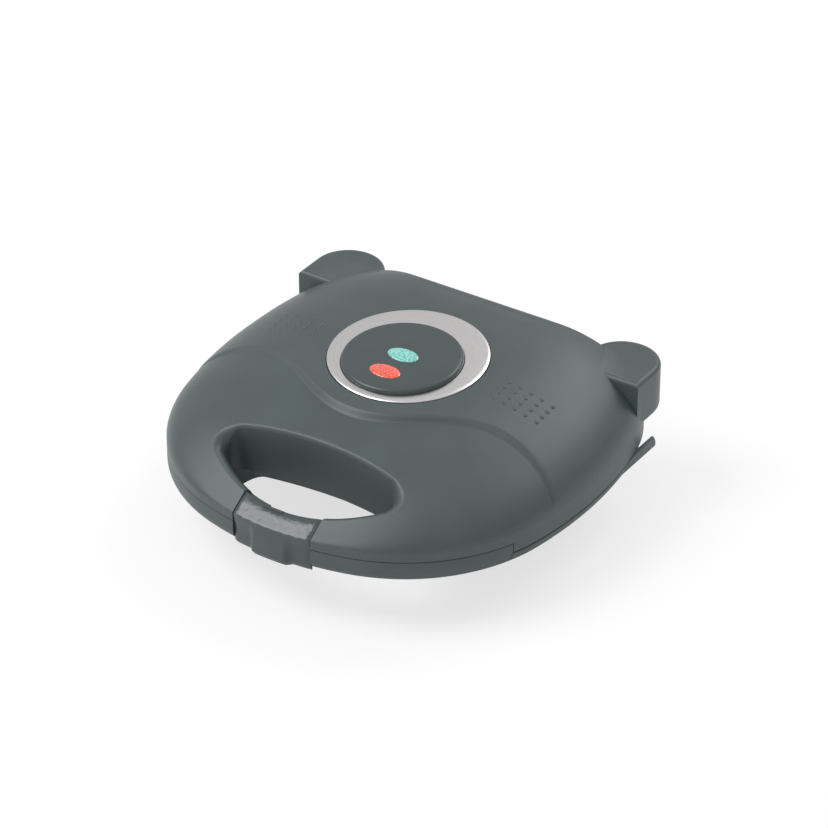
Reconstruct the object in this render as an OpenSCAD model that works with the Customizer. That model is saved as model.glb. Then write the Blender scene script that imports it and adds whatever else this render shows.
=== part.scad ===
// Two-slice sandwich toaster: a hinged, domed lid over a shallow base, with a
// moulded carrying handle across the front and a latch clip at its middle.
// The origin is on the table, under the middle of the whole appliance.
// +X is to the right of someone facing the handle, +Y is towards the hinge.

/* [Outline] */
// Widest span across the two sides
body_w = 229.2; // [220:0.2:240]
// How far the handle reaches in front of the origin
front_reach = 108.1; // [105:0.1:112]
// Where the lid's rear wall stands behind the origin
rear_reach = 95.5; // [93:0.5:99]
// Where along the depth the body is widest
widest_y = 16.4; // [10:0.2:22]
// Plan radius of the front of the handle
front_r = 158; // [145:1:175]
// Plan radius of the two front corners
corner_r = 94.4; // [88:0.2:100]
// Plan radius of the two sides
side_r = 242; // [220:1:270]
// Plan radius of the two rear corners
tail_r = 81; // [80:1:88]

/* [Heights] */
// Height of the crown of the lid at the trim ring's centre
crown_z = 81.5; // [79:0.5:85]
// Height of the joint between lid and base round the body
joint_z = 34.6; // [33:0.1:37]
// Height of the joint between the two halves of the handle
grip_joint_z = 40.2; // [39:0.1:42]
// Height of the underside of the handle and of the base's rim
rim_z = 27.2; // [26:0.2:28]
// Height of the base's floor above the table
floor_z = 5; // [4:0.5:7]
// Gap at the joint between lid and base
joint_gap = 0.6; // [0.4:0.1:1]
// Wall of the moulded housings
wall = 3; // [2.4:0.1:3.6]

/* [Lid form] */
// Slope of the lid's top, down towards the handle, in degrees
crown_slope = 3.2; // [2:0.1:4.5]
// Slope of the apron in front of the crease, in degrees
apron_slope = 6; // [5:0.1:7.5]
// Height of the apron's plane at the rear edge of the grip opening
apron_z = 72.7; // [71:0.1:74.5]
// Extra fall of the apron from the grip opening to the handle
apron_fall = 7; // [4:0.5:9]
// Width of the soft shoulder that rolls down to the sides
shoulder_w = 78; // [74:1:79]
// Height where the shoulder turns vertical
shoulder_foot_z = 45; // [44:0.5:47]
// Rounding along the lid's rear edge
rear_round = 9; // [5:0.5:13]
// Half the distance between the two peaks of the crease
crease_peak_x = 77; // [70:1:84]
// Where the peaks of the crease lie
crease_peak_y = -8.7; // [-13:0.1:-3]
// Where the crease dips in front of the trim ring
crease_dip_y = -36; // [-41:0.5:-33]

/* [Grip opening] */
// Rear edge of the grip opening at its middle
grip_rear_y = -60.2; // [-62:0.2:-58]
// Front edge of the grip opening at its middle
grip_front_y = -92.2; // [-93:0.2:-91]
// Plan radius of the opening's rear edge
grip_rear_r = 230; // [200:5:260]
// Plan radius of the opening's front edge
grip_front_r = 80; // [76:1:86]
// How far the handle's rear upper edge is eased back towards its front
grip_ease = 5.5; // [4:0.5:6.5]
// Rounding of the opening's two ends
grip_end_r = 6.5; // [5.5:0.5:8]

/* [Hinge ears] */
// Distance of each ear's round end from the middle
ear_x = 86.5; // [84:0.1:88]
// Where each ear's round end lies
ear_y = 90; // [88:0.5:92]
// Radius of each ear's round end
ear_r = 20; // [18.5:0.1:21]
// Height of the ears' flat tops
ear_top_z = 72; // [70:0.5:74]
// Height of the ears' undersides
ear_foot_z = 42.5; // [41.5:0.5:44]
// How far each ear runs forward from its round end
ear_run = 18; // [16:1:22]
// Where the hinge axis lies
hinge_y = 85; // [84:0.5:87]
// Height of the hinge axis
hinge_z = 50; // [49:0.5:52]
// Diameter of the hinge pins
hinge_pin_d = 5; // [4:0.5:6]
// Thickness of the base's hinge arms
hinge_arm_t = 8; // [6:0.5:10]
// Radius of the knuckle on each hinge arm
knuckle_r = 7.5; // [6.5:0.5:8.5]

/* [Trim ring and lamps] */
// Outer diameter of the bright trim ring
ring_d = 85; // [80:1:90]
// Where the trim ring's centre lies
ring_y = 18.5; // [15:0.5:22]
// Diameter of the raised lamp panel
panel_d = 64; // [60:1:68]
// How far the lamp panel sits forward of the ring's centre
panel_shift = 5.7; // [4:0.1:6.5]
// Height of the lamp panel above the lid's crown
panel_rise = 3.4; // [2.5:0.1:4.5]
// Length of each oval lamp lens
lens_w = 17.8; // [15:0.2:20]
// Width of each oval lamp lens
lens_d = 10.8; // [9:0.2:12]
// Distance of the green lens forward of the ring's centre
green_shift = 4.9; // [4:0.1:6]
// Distance of the red lens forward of the ring's centre
red_shift = 21.8; // [20.5:0.1:23]

/* [Cooking plates] */
// Width of the cooking plates
plate_w = 200; // [194:1:204]
// Front edge of the cooking plates
plate_front_y = -36; // [-38:0.5:-34]
// Rear edge of the cooking plates
plate_rear_y = 70; // [68:0.5:71]
// Depth of the triangular pockets
pocket_depth = 9; // [7:0.5:10]
// Thickness of the castings under the pockets
plate_floor = 2.5; // [2:0.1:3]
// Diameter of the tubular heating elements
heater_d = 6.6; // [6:0.1:7.4]

/* [Latch] */
// Width of the latch clip
latch_w = 46.4; // [42:0.2:50]
// How far the clip's axis lies behind the front of the handle
latch_axis_in = 11; // [10.5:0.1:12]
// Height of the clip's axis
latch_axis_z = 46; // [45.6:0.1:46.6]
// Diameter of the latch pin
latch_pin_d = 3; // [2.5:0.1:3.5]
// Wall of the latch clip
latch_wall = 2.6; // [2.2:0.1:3]
// Width of the thumb tab on the clip
tab_w = 21.6; // [18:0.2:26]
// How far the thumb tab stands proud of the handle
tab_rise = 2; // [1:0.1:2.5]

/* [Feet] */
// Diameter of the rubber feet
foot_d = 16; // [13:0.5:19]
// Distance between the feet across the base
foot_span_x = 128; // [116:1:140]
// Distance between the feet along the base
foot_span_y = 46; // [40:1:50]

/* [Hidden] */
$fn = 48;
far = 300;
eps = 0.01;
moulding = [0.25, 0.28, 0.29];
gloss = [0.16, 0.18, 0.19];
cast_metal = [0.20, 0.20, 0.21];
bright = [0.82, 0.81, 0.80];
fit = 0.05;      // radial clearance of a pin that turns in its bore
part_gap = 0.5;  // clearance between pieces that move past each other

// The point where two circles meet, on the side given by sign
function meet(c0, r0, c1, r1, sign) =
    let (gap = c1 - c0, span = norm(gap),
         along = (r0 * r0 - r1 * r1 + span * span) / (2 * span),
         off = sqrt(r0 * r0 - along * along))
    c0 + along * gap / span + sign * off * [-gap[1], gap[0]] / span;
function bearing(from, to) = atan2(to[1] - from[1], to[0] - from[0]);
function arc(c, r, a0, a1, n) =
    [for (i = [0:n]) let (a = a0 + (a1 - a0) * i / n) c + r * [cos(a), sin(a)]];

// Plan outline: front, corner and side arcs that run into each other
front_c = [0, -front_reach + front_r];
side_c = [body_w / 2 - side_r, widest_y];
corner_c = meet(side_c, side_r - corner_r, front_c, front_r - corner_r, -1);
front_a = bearing(front_c, corner_c);
side_a = bearing(side_c, corner_c);
side_end_a = asin((hinge_y - 18 - widest_y) / side_r);
tail_c = side_c + (side_r - tail_r) * [cos(side_end_a), sin(side_end_a)];
tail_y = tail_c[1] + tail_r;

// Each sample is an arc centre, a radius and a direction
function samples(c, r, a0, a1, n) =
    [for (i = [1:n]) [c[0], c[1], r, a0 + (a1 - a0) * i / n]];
right_side = concat(
    samples(front_c, front_r, -90, front_a, 5),
    samples(corner_c, corner_r, front_a, side_a, 7),
    samples(side_c, side_r, side_a, side_end_a, 5),
    samples(tail_c, tail_r, side_end_a, 90, 5));
left_side = [for (i = [len(right_side) - 1:-1:0])
    let (s = right_side[i]) [-s[0], s[1], s[2], 180 - s[3]]];
outline = concat([[front_c[0], front_c[1], front_r, -90]], right_side, left_side);
function inset_outline(d) =
    [for (s = outline) [s[0] + (s[2] - d) * cos(s[3]), s[1] + (s[2] - d) * sin(s[3])]];

// Heights that the crown and the apron would have without their shoulders
function crown_plane(y) = crown_z + (y - ring_y) * tan(crown_slope);
function apron_plane(y) = apron_z + (y - grip_rear_y) * tan(apron_slope)
    - apron_fall * pow(max(0, grip_rear_y - y) / 30, 2);
function lid_plane(y, form) = form == "crown" ? crown_plane(y)
    : form == "apron" ? apron_plane(y)
    : min(crown_plane(y), apron_plane(y));

// A domed body: the outline rolls in over the shoulder, and strips close its top
roll = [0, 0.015, 0.05, 0.11, 0.19, 0.29, 0.42, 0.58, 0.77, 1];
function swell(t) = sqrt(1 - (1 - t) * (1 - t));
function roll_ring(t, form, skin) =
    [for (p = inset_outline(skin + t * (shoulder_w - skin)))
        [p[0], p[1], shoulder_foot_z
            + (lid_plane(p[1], form) - skin - shoulder_foot_z) * swell(t)]];
module domed_body(form, skin, foot_z) {
    n = len(outline);
    foot = [for (p = inset_outline(skin)) [p[0], p[1], foot_z]];
    rings = concat([foot], [for (t = roll) roll_ring(t, form, skin)]);
    last = (len(rings) - 1) * n;
    polyhedron(
        points = [for (r = rings) for (p = r) p],
        faces = concat(
            [[for (i = [0:n - 1]) i]],
            [for (k = [0:n:last - 1]) for (i = [0:n - 1])
                let (j = (i + 1) % n)
                each [[k + i, k + n + i, k + n + j], [k + i, k + n + j, k + j]]],
            [[last, last + n - 1, last + 1]],
            [for (i = [1:(n - 1) / 2 - 1])
                let (a = last + i, b = last + i + 1, c = last + n - i - 1, d = last + n - i)
                each [[a, d, c], [a, c, b]]]));
}

// Height of the crown's surface along the middle, near the rear edge
function tail_surface(y) = shoulder_foot_z
    + (crown_plane(y) - shoulder_foot_z) * swell((tail_y - y) / shoulder_w);

// What lies in front of the lid's rounded rear edge
module rear_trim(skin) {
    y0 = rear_reach - rear_round;
    slope = atan((tail_surface(y0 - 2) - tail_surface(y0)) / 2) + 2;
    z0 = tail_surface(y0) - rear_round / cos(slope);
    round_edge = arc([y0, z0], rear_round - skin, 0, 90 - slope, 5);
    end = round_edge[5];
    rotate([90, 0, 90]) linear_extrude(2 * far, center = true)
        polygon(concat([[-far, 0], [rear_reach - skin, 0]], round_edge,
            [[end[0] - far, end[1] + far * tan(slope)], [-far, far]]));
}

// The crease: two peaks at the sides and a dip in front of the trim ring
function crease_y(x) = let (u = abs(x) / crease_peak_x)
    u < 1 ? crease_dip_y + (crease_peak_y - crease_dip_y) * (1 - cos(180 * u)) / 2
    : crease_peak_y - 20 * (1 - cos(min(90, 120 * (u - 1))));
crease = [for (x = [-126:9:126]) [x, crease_y(x)]];

// Grip opening: a lens of two arcs with rounded ends. Its rear edge can be drawn
// back, its front edge eased forward, and it can be grown all round.
function lens_points(grow, draw, ease) =
    let (rear_c = [0, grip_rear_y - grip_rear_r], fore_c = [0, grip_front_y + grip_front_r],
         rr = grip_rear_r + grow, fr = grip_front_r + grow + ease, er = grip_end_r + grow,
         end_c = meet(rear_c, rr - er, fore_c, fr - er, -1),
         a0 = bearing(fore_c, end_c), a1 = bearing(rear_c, end_c),
         half = concat(arc(fore_c, fr, -90, a0, 9), arc(end_c, er, a0, a1, 6),
                       arc(rear_c, rr, a1, 90, 6)),
         drawn = [for (p = half) [p[0], p[1] + draw
             * max(0, min(1, (p[1] - end_c[1] + er) / (2 * er)))]])
    concat(drawn, [for (i = [len(drawn) - 2:-1:1]) [-drawn[i][0], drawn[i][1]]]);
// A stack of lens outlines, each given by its height, draw and ease
module lens_stack(grow, levels) {
    n = len(lens_points(grow, 0, 0));
    last = (len(levels) - 1) * n;
    polyhedron(
        points = [for (s = levels) for (p = lens_points(grow, s[1], s[2])) [p[0], p[1], s[0]]],
        faces = concat([[for (i = [0:n - 1]) i]], [[for (i = [n - 1:-1:0]) last + i]],
            [for (k = [0:n:last - 1]) for (i = [0:n - 1]) let (j = (i + 1) % n)
                each [[k + i, k + n + i, k + n + j], [k + i, k + n + j, k + j]]]));
}
module lid_opening(grow) {
    lens_stack(grow, [[joint_z - 10, 0, 0], [ease_z, 0, 0],
                      [ease_z + 0.76 * grip_ease, 0, grip_ease], [apron_z + 10, 0, grip_ease]]);
}
// The opening through the base, which draws back under the joint
module base_opening() {
    slant = base_draw / (grip_joint_z - rim_z);
    lens_stack(0, [[rim_z - 1, base_draw + slant, 0], [grip_joint_z, 0.5, 0],
                   [grip_joint_z + 5, 0.5, 0]]);
}
ease_z = grip_joint_z + 6.6;
base_draw = 16;
handle_end_y = -45.6;  // where the handle's joint steps down to the body's
lid_foot_z = joint_z + joint_gap;
grip_foot_z = grip_joint_z + joint_gap / 2;

// One hinge ear: a round-ended lobe with softened edges
module ear_lobe() {
    edge = 3;
    h = ear_top_z - ear_foot_z;
    side = concat(arc([ear_r - 2 * edge, 2 * edge], 2 * edge, -90, 0, 5),
                  arc([ear_r - edge, h - edge], edge, 0, 90, 4));
    translate([0, ear_y, ear_foot_z]) {
        rotate_extrude() polygon(concat([[0, 0]], side, [[0, h]]));
        rotate([90, 0, 0]) linear_extrude(ear_run)
            polygon(concat(side, [for (i = [len(side) - 1:-1:0]) [-side[i][0], side[i][1]]]));
    }
}
module both_sides() {
    children();
    mirror([1, 0, 0]) children();
}
// Room in an ear for the base's hinge arm, over the whole travel
module arm_slot() {
    w = hinge_arm_t + 2 * part_gap;
    translate([ear_x - w / 2, 0, 0]) {
        translate([0, hinge_y, hinge_z]) rotate([0, 90, 0]) cylinder(r = knuckle_r + 1, h = w);
        translate([0, hinge_y - 15, lid_foot_z - 1]) cube([w, 15, hinge_z - lid_foot_z + 1]);
        translate([0, hinge_y - eps, lid_foot_z - 1]) cube([w, 21, hinge_z - lid_foot_z + 5.5]);
    }
}
module hinge_bore(d) {
    translate([ear_x, hinge_y, hinge_z]) rotate([0, 90, 0])
        cylinder(d = d, h = pin_l, center = true);
}
pin_l = hinge_arm_t + 2 * 7.5;
module ring_plane() {
    translate([0, ring_y, crown_z]) rotate([crown_slope, 0, 0]) children();
}
ring_sink = 1.6;
panel_seat = 5;
module latch_span(w, z0) {
    translate([-w / 2, -far, z0]) cube([w, far + grip_front_y + 5, far]);
}
latch_y = -front_reach + latch_axis_in;
module latch_axis(d, w) {
    translate([0, latch_y, latch_axis_z]) rotate([0, 90, 0]) cylinder(d = d, h = w, center = true);
}
latch_boss_d = 4.8;
knuckle_w = 11;
spring_w = 6;
latch_slot = [-knuckle_w + 2, 2.5 + spring_w + part_gap];

// Plate screw places: one in the middle of each side
plate_mid_y = (plate_front_y + plate_rear_y) / 2;
screw_in = 5;
screw_places = [
    [plate_w / 2 - screw_in, plate_mid_y], [-plate_w / 2 + screw_in, plate_mid_y],
    [0, plate_front_y + screw_in], [0, plate_rear_y - screw_in]];
plate_gap = 1;
plate_face_z = joint_z + joint_gap;
flange_t = 4.2;
plate_back_z = plate_face_z + plate_gap + flange_t;
screw_sink = 2.4;
screw_tip_z = plate_face_z - screw_sink - 8;
post_r = 4.6;
module upside_down() {
    translate([0, 0, 2 * plate_face_z + plate_gap]) mirror([0, 0, 1]) children();
}

module upper_housing() {
    color(moulding) difference() {
        union() {
            difference() {
                union() {
                    intersection() {
                        domed_body("crown", 0, 20);
                        rear_trim(0);
                        translate([0, 0, 10]) linear_extrude(far)
                            polygon(concat(crease, [[126, far], [-126, far]]));
                    }
                    intersection() {
                        domed_body("apron", 0, 20);
                        translate([0, 0, 10]) linear_extrude(far)
                            polygon(concat([[126, -far], [-126, -far]], crease));
                    }
                }
                difference() {
                    intersection() {
                        domed_body("low", wall, 20);
                        rear_trim(wall);
                        translate([-far, handle_end_y + 1, 0]) cube([2 * far, far, far]);
                    }
                    lid_opening(wall);
                    for (p = screw_places) translate([p[0], p[1], plate_back_z]) cylinder(r = post_r, h = far);
                    for (p = reflector_posts) translate([p[0], p[1], upper_sheet_z]) cylinder(r = 4, h = far);
                    ring_plane() cylinder(d = ring_d + 8, h = 8, center = true);
                }
                translate([-far, handle_end_y, 0]) cube([2 * far, far, lid_foot_z]);
                translate([-far, -far, 0]) cube([2 * far, far + handle_end_y + eps, grip_foot_z]);
            }
            both_sides() translate([ear_x, 0, 0]) ear_lobe();
        }
        lid_opening(0);
        both_sides() arm_slot();
        both_sides() hinge_bore(hinge_pin_d + 2 * fit);
        difference() {
            latch_span(latch_w + 2 * part_gap, 0);
            intersection() {
                domed_body("apron", latch_wall + 3 * part_gap, 20);
                union() {
                    translate([-far, -far, grip_foot_z]) cube([2 * far, far + latch_y - 1, far]);
                    translate([-far, -far, grip_foot_z])
                        cube([2 * far, 2 * far, latch_axis_z + 1.5 - grip_foot_z]);
                }
            }
        }
        translate([latch_slot[0] - part_gap, latch_y - latch_boss_d / 2 - part_gap, grip_foot_z - 1])
            cube([latch_slot[1] - latch_slot[0] + 2 * part_gap, 20, 30]);
        latch_axis(latch_pin_d, latch_w - 3);
        for (p = screw_places) translate([p[0], p[1], 0])
            cylinder(d = 3, h = 2 * plate_face_z + plate_gap - screw_tip_z);
        for (p = reflector_posts) translate([p[0], p[1], 0]) cylinder(d = 2.4, h = upper_sheet_z + 5);
        ring_plane() {
            translate([0, 0, -ring_sink]) cylinder(d = ring_d + 0.6, h = 20);
            translate([0, -panel_shift, -20]) cylinder(d = panel_d - 2 * panel_seat, h = 40);
        }
    }
}

// Shallow belly of the base: rounded rectangles that draw in towards the floor
belly_top = [102, -37, 72, 26];
belly_low = [82, -3, 66, 22];
belly_steps = [0, 0.35, 0.65, 0.9, 1];
function belly_ring(t, skin) =
    let (b = belly_top + (belly_low - belly_top) * t,
         z = rim_z + (floor_z - rim_z) * (1 - pow(1 - t, 1.25)) + skin * t,
         w = b[0] - skin, y0 = b[1] + skin, y1 = b[2] - skin, r = b[3] - skin,
         half = concat(arc([w - r, y0 + r], r, -90, 0, 5), arc([w - r, y1 - r], r, 0, 90, 5)))
    [for (p = concat(half, [for (i = [len(half) - 1:-1:0]) [-half[i][0], half[i][1]]]))
        [p[0], p[1], z]];
module belly(skin, lift) {
    rings = concat([[for (p = belly_ring(0, skin)) [p[0], p[1], rim_z + lift]]],
                   [for (t = belly_steps) belly_ring(t, skin)]);
    n = len(rings[0]);
    last = (len(rings) - 1) * n;
    polyhedron(
        points = [for (r = rings) for (p = r) p],
        faces = concat(
            [[for (i = [n - 1:-1:0]) i]],
            [for (k = [0:n:last - 1]) for (i = [0:n - 1])
                let (j = (i + 1) % n)
                each [[k + i, k + j, k + n + j], [k + i, k + n + j, k + n + i]]],
            [[for (i = [0:n - 1]) last + i]]));
}
// Band of the base round the outline, with a rounded underside
band_round = [[7, rim_z], [4, rim_z + 0.8], [1.6, rim_z + 2.8], [0, rim_z + 6.4]];
module base_band(top_z) {
    n = len(outline);
    rings = concat([for (s = band_round) [for (p = inset_outline(s[0])) [p[0], p[1], s[1]]]],
                   [[for (p = inset_outline(0)) [p[0], p[1], top_z]]]);
    last = (len(rings) - 1) * n;
    polyhedron(
        points = [for (r = rings) for (p = r) p],
        faces = concat(
            [[for (i = [0:n - 1]) i]],
            [for (k = [0:n:last - 1]) for (i = [0:n - 1])
                let (j = (i + 1) % n)
                each [[k + i, k + n + i, k + n + j], [k + i, k + n + j, k + j]]],
            [[for (i = [n - 1:-1:0]) last + i]]));
}
base_rear_y = 72.6;
lug_t = 3.4;       // ledge at each side that the hinge arms grow from
lug_x = 112;
lug_y = [44, 86];
lug_gap = 1.2;
foot_y = (belly_low[1] + belly_low[2]) / 2;
foot_places = [for (sx = [-1, 1]) for (sy = [-1, 1])
    [sx * foot_span_x / 2, foot_y + sy * foot_span_y / 2]];
reflector_posts = [[66, 2], [-66, 2], [66, 36], [-66, 36]];
lower_sheet_z = 13;
upper_sheet_z = 56;
sheet_t = 0.8;
grommet_x = -44;
grommet_z = 19;
grommet_y = belly_low[2];
grommet_boss_r = 9;
cable_d = 6.6;
block_size = [28, 11, 9];
block_y0 = 46;
tag_place = [30, 30];
sheet_x = 76;
sheet_y = [-6, 44];
vent_size = [30, 3];
vent_step = 8;
module plate_outline(grow, z0, z1) {
    r = 14;
    w = plate_w / 2 + grow;
    translate([0, 0, z0]) linear_extrude(z1 - z0)
        polygon(concat(
            arc([w - r, plate_front_y - grow + r], r, -90, 0, 6),
            arc([w - r, plate_rear_y + grow - r], r, 0, 90, 6),
            arc([r - w, plate_rear_y + grow - r], r, 90, 180, 6),
            arc([r - w, plate_front_y - grow + r], r, 180, 270, 6)));
}
module hinge_arm() {
    translate([ear_x - hinge_arm_t / 2, 0, 0]) rotate([90, 0, 90]) linear_extrude(hinge_arm_t) {
        translate([hinge_y, hinge_z]) circle(r = knuckle_r);
        polygon([[base_rear_y - 8, rim_z - 1], [base_rear_y, rim_z - 1],
                 [hinge_y + 0.8 * knuckle_r, hinge_z - 0.6 * knuckle_r],
                 [hinge_y - 0.6 * knuckle_r, hinge_z + 0.8 * knuckle_r],
                 [base_rear_y + 2.5, joint_z], [base_rear_y - 8, joint_z]]);
    }
}
module grommet_bore(d, y0, y1) {
    translate([grommet_x, grommet_y + y0, grommet_z]) rotate([-90, 0, 0])
        cylinder(d = d, h = y1 - y0);
}

module lower_housing() {
    color(moulding) difference() {
        union() {
            intersection() {
                base_band(joint_z);
                translate([-far, -far, 0]) cube([2 * far, far + base_rear_y, far]);
            }
            intersection() {
                base_band(grip_joint_z);
                translate([-far, -far, 0]) cube([2 * far, far + handle_end_y - part_gap, far]);
            }
            belly(0, 2);
            grommet_bore(2 * grommet_boss_r, -2, 6);
            both_sides() {
                hinge_arm();
                translate([lug_x - 22, lug_y[0], joint_z - lug_t])
                    cube([22, base_rear_y - lug_y[0] - 2, lug_t]);
                translate([ear_x + ear_r + lug_gap, lug_y[0], joint_z - lug_t])
                    cube([lug_x - ear_x - ear_r - lug_gap, lug_y[1] - lug_y[0], lug_t]);
            }
        }
        base_opening();
        difference() {
            belly(wall, 20);
            for (p = screw_places) translate([p[0], p[1], screw_tip_z - 4]) cylinder(r = post_r, h = 20);
            for (p = reflector_posts) translate([p[0], p[1], 0]) cylinder(r = 4, h = lower_sheet_z);
            for (p = foot_places) translate([p[0], p[1], 0]) cylinder(r = 6, h = floor_z + 6);
            grommet_bore(2 * grommet_boss_r, -2, 18);
        }
        plate_outline(0.4, plate_face_z - flange_t, far);
        for (p = screw_places) translate([p[0], p[1], screw_tip_z]) cylinder(d = 3, h = 20);
        for (p = reflector_posts) translate([p[0], p[1], lower_sheet_z - 4]) cylinder(d = 2.4, h = 10);
        for (p = foot_places) translate([p[0], p[1], 0]) cylinder(d = 6, h = floor_z + 4);
        both_sides() hinge_bore(hinge_pin_d);
        difference() {
            latch_span(latch_w + 2 * part_gap, 0);
            translate([0, 0, rim_z]) linear_extrude(grip_joint_z - rim_z - 2)
                polygon(inset_outline(latch_wall + 4 * part_gap));
        }
        grommet_bore(cable_d + 3.4, -20, 20);
        for (sx = [-1, 1]) for (i = [-2:2])
            translate([sx * vent_size[0] - vent_size[0] / 2,
                       foot_y + vent_step * i - vent_size[1] / 2, 0])
                cube([vent_size[0], vent_size[1], floor_z + 4]);
    }
}

module rubber_feet() {
    color([0.1, 0.1, 0.1]) for (p = foot_places) translate([p[0], p[1], 0]) rotate_extrude()
        polygon([[0, 0], [foot_d / 2 - 1.5, 0], [foot_d / 2, 1.5], [foot_d / 2, floor_z],
                 [3, floor_z], [3, floor_z + 4], [0, floor_z + 4]]);
}
module hinge_pins() {
    color(bright) both_sides() hinge_bore(hinge_pin_d);
}
module cord_grommet() {
    color([0.1, 0.1, 0.1]) translate([grommet_x, grommet_y, grommet_z]) rotate([-90, 0, 0])
        rotate_extrude() let (r = cable_d / 2) polygon([
            [r, -4], [r + 3.2, -4], [r + 3.2, -2], [r + 1.7, -2], [r + 1.7, 6],
            [r + 4.2, 6], [r + 3.7, 8], [r + 2.1, 12], [r, 12]]);
}
module terminal_block() {
    color([0.85, 0.83, 0.76]) difference() {
        translate([grommet_x - block_size[0] / 2, block_y0, floor_z + wall]) cube(block_size);
        for (i = [-1:1])
            translate([grommet_x + i * block_size[0] / 3, block_y0 - 1,
                       floor_z + wall + block_size[2] / 2])
                rotate([-90, 0, 0]) cylinder(d = 3.4, h = 20);
    }
}
module earth_tag() {
    color(bright) translate([tag_place[0], tag_place[1], lower_sheet_z + sheet_t])
        difference() {
            cube([8, 14, sheet_t]);
            translate([4, 10, -1]) cylinder(d = 4, h = 4);
        }
}

// Cooking plate: a cast flange with two blocks, each with a pair of pockets
block_x = [6, 90];
block_y = [plate_front_y + 9, plate_rear_y - 9];
draft = 28;
ridge = 2.5;
function shrink(tri, d) =
    let (a = norm(tri[1] - tri[2]), b = norm(tri[2] - tri[0]), c = norm(tri[0] - tri[1]),
         mid = (a * tri[0] + b * tri[1] + c * tri[2]) / (a + b + c), s = (a + b + c) / 2,
         r = sqrt((s - a) * (s - b) * (s - c) / s))
    [for (p = tri) mid + (p - mid) * (1 - d / r)];
module frustum(low, high, z0, z1) {
    n = len(low);
    polyhedron(
        points = concat([for (p = low) [p[0], p[1], z0]], [for (p = high) [p[0], p[1], z1]]),
        faces = concat([[for (i = [0:n - 1]) i]], [[for (i = [n - 1:-1:0]) n + i]],
            [for (i = [0:n - 1]) let (j = (i + 1) % n) [i, n + i, n + j, j]]));
}
module pocket(tri) {
    slant = pocket_depth * tan(draft);
    frustum(shrink(tri, ridge + slant), shrink(tri, ridge - 0.5 * tan(draft)),
            plate_face_z - pocket_depth, plate_face_z + 0.5);
}
module cast_plate() {
    x0 = block_x[0]; x1 = block_x[1]; y0 = block_y[0]; y1 = block_y[1];
    depth = pocket_depth + plate_floor;
    taper = 5;
    difference() {
        union() {
            plate_outline(0, plate_face_z - flange_t, plate_face_z);
            both_sides() frustum(
                [[x0 + taper, y0 + taper], [x1 - taper, y0 + taper],
                 [x1 - taper, y1 - taper], [x0 + taper, y1 - taper]],
                [[x0, y0], [x1, y0], [x1, y1], [x0, y1]],
                plate_face_z - depth, plate_face_z - flange_t + 1);
        }
        both_sides() {
            pocket([[x0 - 3, y0 - 3], [x1 + 3, y0 - 3], [x1 + 3, y1 + 3]]);
            pocket([[x0 - 3, y0 - 3], [x1 + 3, y1 + 3], [x0 - 3, y1 + 3]]);
        }
        for (p = screw_places) translate([p[0], p[1], 0]) {
            cylinder(d = 3, h = far);
            translate([0, 0, plate_face_z - screw_sink]) cylinder(d = 6.4, h = 5);
        }
        heater_loop(heater_d);
    }
}
module lower_plate() {
    color(cast_metal) cast_plate();
}
module upper_plate() {
    color(cast_metal) upside_down() cast_plate();
}
module plate_screws() {
    for (p = screw_places) translate([p[0], p[1], screw_tip_z]) {
        cylinder(d = 3, h = 8 + eps);
        translate([0, 0, 8]) cylinder(d = 6, h = 1.8);
    }
}
module lower_plate_screws() {
    color(bright) plate_screws();
}
module upper_plate_screws() {
    color(bright) upside_down() plate_screws();
}

// Tubular element: a loop with round corners and two ends at the rear
heater_x = 66;
heater_y0 = 0;
heater_y1 = 50;
heater_bend = 18;
heater_sink = 1.2;
heater_z = plate_face_z - pocket_depth - plate_floor - heater_d / 2 + heater_sink;
module heater_corner(x, y, a, d) {
    translate([x, y, heater_z]) rotate([0, 0, a])
        rotate_extrude(angle = 90) translate([heater_bend, 0]) circle(d = d);
}
module heater_loop(d) {
    both_sides() {
        translate([0, heater_y0, heater_z]) rotate([0, 90, 0])
            cylinder(d = d, h = heater_x - heater_bend);
        heater_corner(heater_x - heater_bend, heater_y0 + heater_bend, -90, d);
        translate([heater_x, heater_y0 + heater_bend, heater_z]) rotate([-90, 0, 0])
            cylinder(d = d, h = heater_y1 - heater_y0 - 2 * heater_bend);
        heater_corner(heater_x - heater_bend, heater_y1 - heater_bend, 0, d);
        translate([14, heater_y1, heater_z]) rotate([0, 90, 0])
            cylinder(d = d, h = heater_x - heater_bend - 14);
    }
}
module heater() {
    heater_loop(heater_d);
    both_sides() translate([6, heater_y1, heater_z]) rotate([0, 90, 0]) cylinder(d = 3, h = 9);
}
module lower_heater() {
    color([0.45, 0.43, 0.42]) heater();
}
module upper_heater() {
    color([0.45, 0.43, 0.42]) upside_down() heater();
}

module reflector(z) {
    difference() {
        translate([-sheet_x, sheet_y[0], z]) cube([2 * sheet_x, sheet_y[1] - sheet_y[0], sheet_t]);
        for (p = reflector_posts) translate([p[0], p[1], z - 1]) cylinder(d = 3, h = 4);
    }
}
module lower_reflector() {
    color(bright) reflector(lower_sheet_z);
}
module upper_reflector() {
    color(bright) reflector(upper_sheet_z - sheet_t);
}
module reflector_screw() {
    cylinder(d = 5, h = 1.8);
    translate([0, 0, -4.8]) cylinder(d = 2.4, h = 4.8 + eps);
}
module lower_reflector_screws() {
    color(bright) for (p = reflector_posts)
        translate([p[0], p[1], lower_sheet_z + sheet_t]) reflector_screw();
}
module upper_reflector_screws() {
    color(bright) for (p = reflector_posts)
        translate([p[0], p[1], upper_sheet_z - sheet_t]) mirror([0, 0, 1]) reflector_screw();
}

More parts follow.
